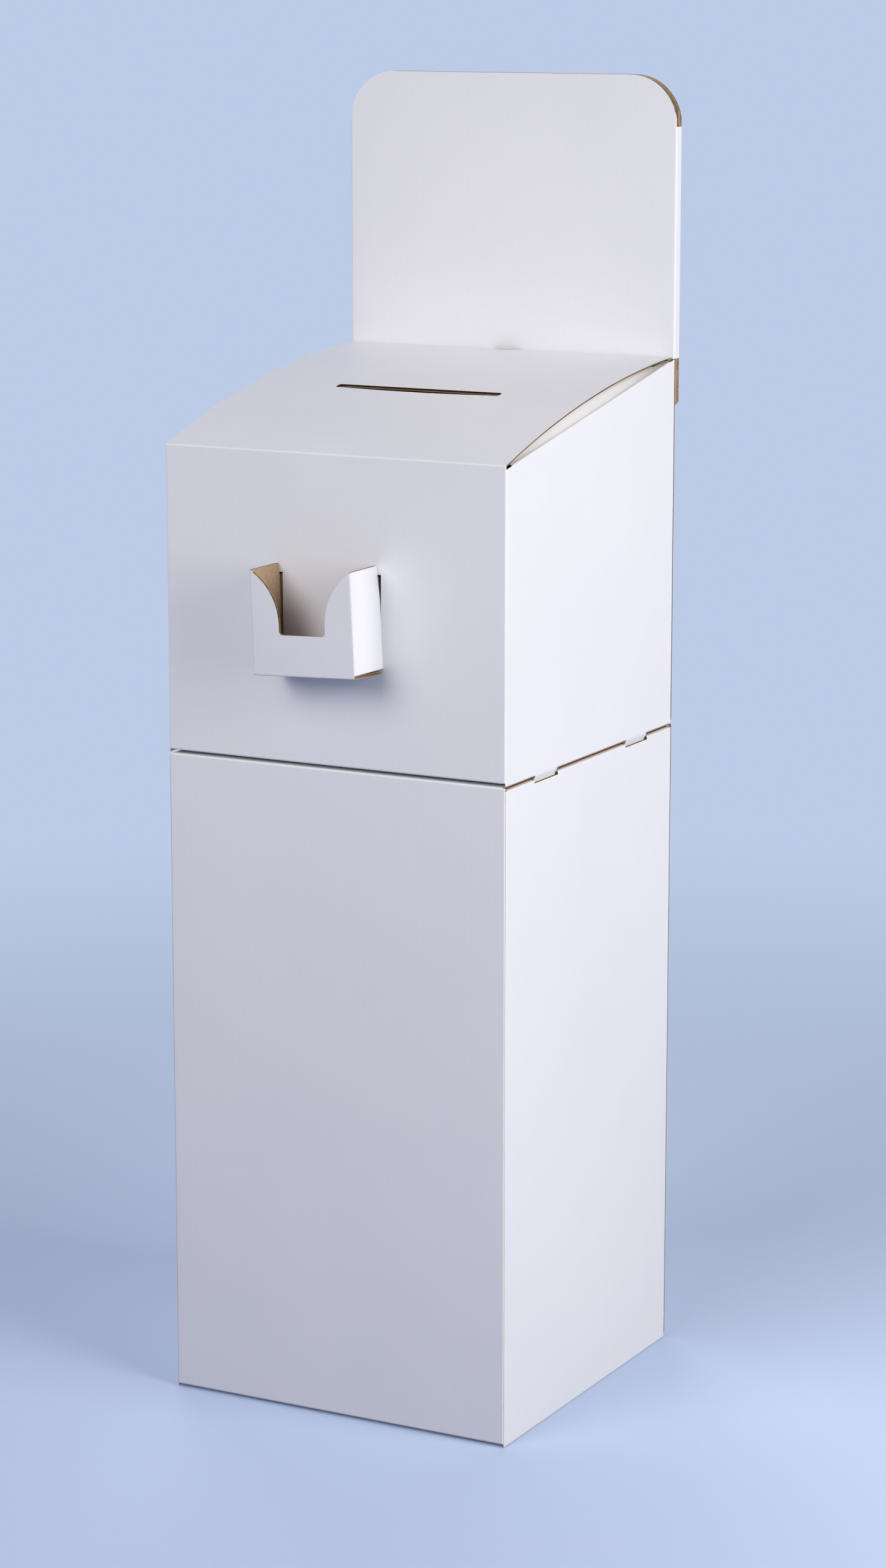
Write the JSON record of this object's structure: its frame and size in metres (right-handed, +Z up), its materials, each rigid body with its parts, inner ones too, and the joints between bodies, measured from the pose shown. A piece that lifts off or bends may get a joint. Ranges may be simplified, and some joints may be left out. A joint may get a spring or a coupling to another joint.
{
  "type": "ballot box",
  "caption": "Floor-standing ballot box of folded corrugated board: pedestal, slotted hinged lid, slip-on header panel and front leaflet pocket.",
  "frame": {"origin": "middle of the pedestal's square footprint, on the floor", "axes": "+X to the right of someone facing the front with the leaflet pocket, +Y towards the header at the back, +Z up"},
  "size_m": [0.372, 0.4242, 1.3017],
  "materials": {
    "white_board": "satin",
    "kraft_board": "matte"
  },
  "bodies": {
    "pedestal": {"base_front_wall": "white_board", "base_right_wall": "white_board", "base_back_wall": "white_board", "base_left_wall": "white_board", "base_glue_lap": "kraft_board", "base_bottom_flap_front": "white_board", "base_bottom_flap_right": "white_board", "base_bottom_flap_back": "white_board", "base_bottom_flap_left": "white_board", "base_top_flap_front": "white_board", "base_top_flap_right": "white_board", "base_top_flap_back": "white_board", "base_top_flap_left": "white_board"},
    "box": {"box_front_wall": "white_board", "box_right_wall": "white_board", "box_back_wall": "white_board", "box_left_wall": "white_board", "box_glue_lap": "kraft_board", "box_bottom_flap_front": "white_board", "box_bottom_flap_right": "white_board", "box_bottom_flap_back": "white_board", "box_bottom_flap_left": "white_board", "lock_tabs_right": "white_board", "lock_tabs_left": "white_board", "pocket_front": "white_board", "pocket_right_side": "white_board", "pocket_left_side": "white_board", "pocket_bottom": "white_board", "pocket_hook_right": "white_board", "pocket_hook_left": "white_board"},
    "lid": {"lid_panel": "white_board"},
    "lid_tuck": {"tuck_flap": "white_board"},
    "right_dust_flap": {"dust_flap_right": "white_board"},
    "left_dust_flap": {"dust_flap_left": "white_board"},
    "header": {"header_front_panel": "white_board", "header_right_spine": "white_board", "header_rear_panel": "white_board", "header_left_spine": "white_board", "header_glue_lap": "kraft_board"}
  },
  "joints": [
    {"name": "box_lift", "type": "slide", "parent": "pedestal", "child": "box", "axis": [0, 0, 1], "range_m": [0, 0.06]},
    {"name": "header_lift", "type": "slide", "parent": "box", "child": "header", "axis": [0, 0, 1], "range_m": [0, 0.075]},
    {"name": "lid_hinge", "type": "hinge", "parent": "box", "child": "lid", "pos_m": [0, -0.185, 0.9564], "axis": [1, 0, 0], "range_deg": [0, 200]},
    {"name": "tuck_hinge", "type": "hinge", "parent": "lid", "child": "lid_tuck", "pos_m": [0, 0.17199, 1.02222], "axis": [-1, 0, 0], "range_deg": [0, 45]},
    {"name": "right_dust_flap_hinge", "type": "hinge", "parent": "box", "child": "right_dust_flap", "pos_m": [0.182, 0, 0.9855], "axis": [0, -0.9821, -0.1883], "range_deg": [0, 75]},
    {"name": "left_dust_flap_hinge", "type": "hinge", "parent": "box", "child": "left_dust_flap", "pos_m": [-0.182, 0, 0.9855], "axis": [0, 0.9821, 0.1883], "range_deg": [0, 75]}
  ]
}
